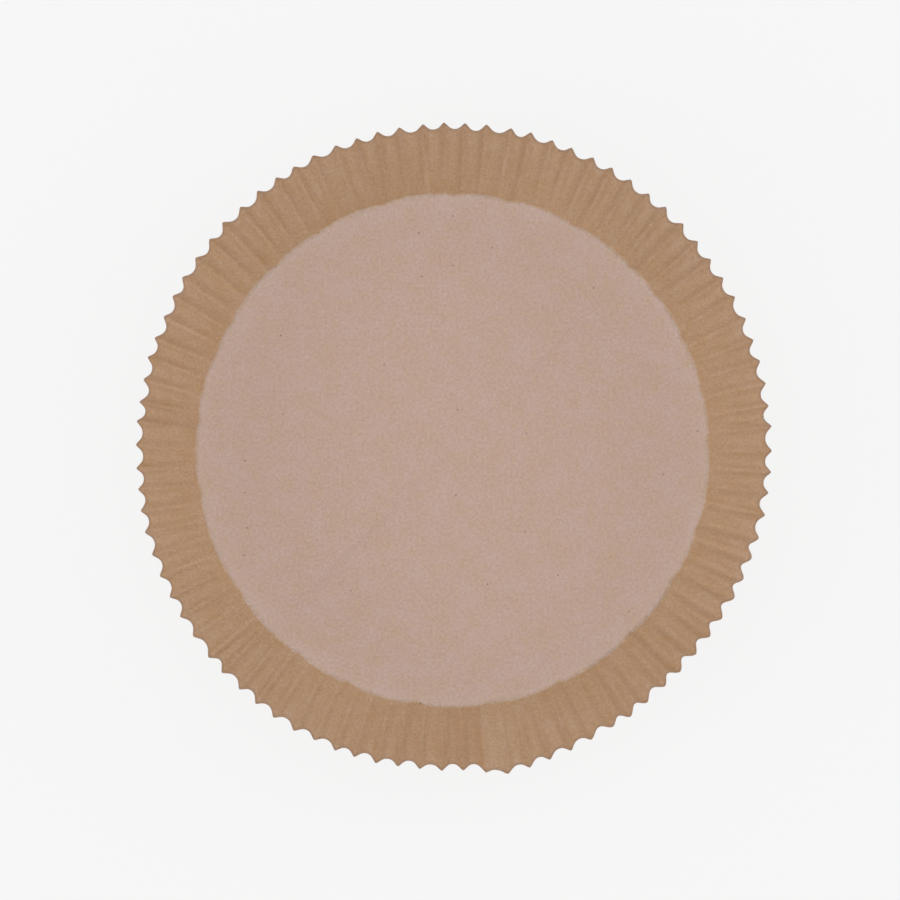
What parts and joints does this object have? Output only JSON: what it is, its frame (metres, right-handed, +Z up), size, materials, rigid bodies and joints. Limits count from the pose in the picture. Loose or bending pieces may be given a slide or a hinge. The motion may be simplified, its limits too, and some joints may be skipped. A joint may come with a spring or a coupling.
{
  "type": "paper baking mold",
  "caption": "Round shallow baking mold pressed from one paper disc, with a flat floor and a pleated wall that flares up to a scalloped rim.",
  "frame": {"origin": "middle of the floor's underside, on the surface that the cup stands on", "axes": "+Z up, out of the mouth; +X and +Y across the mouth, with the weak pleat of the rim towards -Y"},
  "size_m": [0.1982, 0.2032, 0.0459],
  "materials": {
    "unbleached_paper": "matte"
  },
  "bodies": {
    "root": {"paper_mold": "unbleached_paper"}
  },
  "joints": []
}
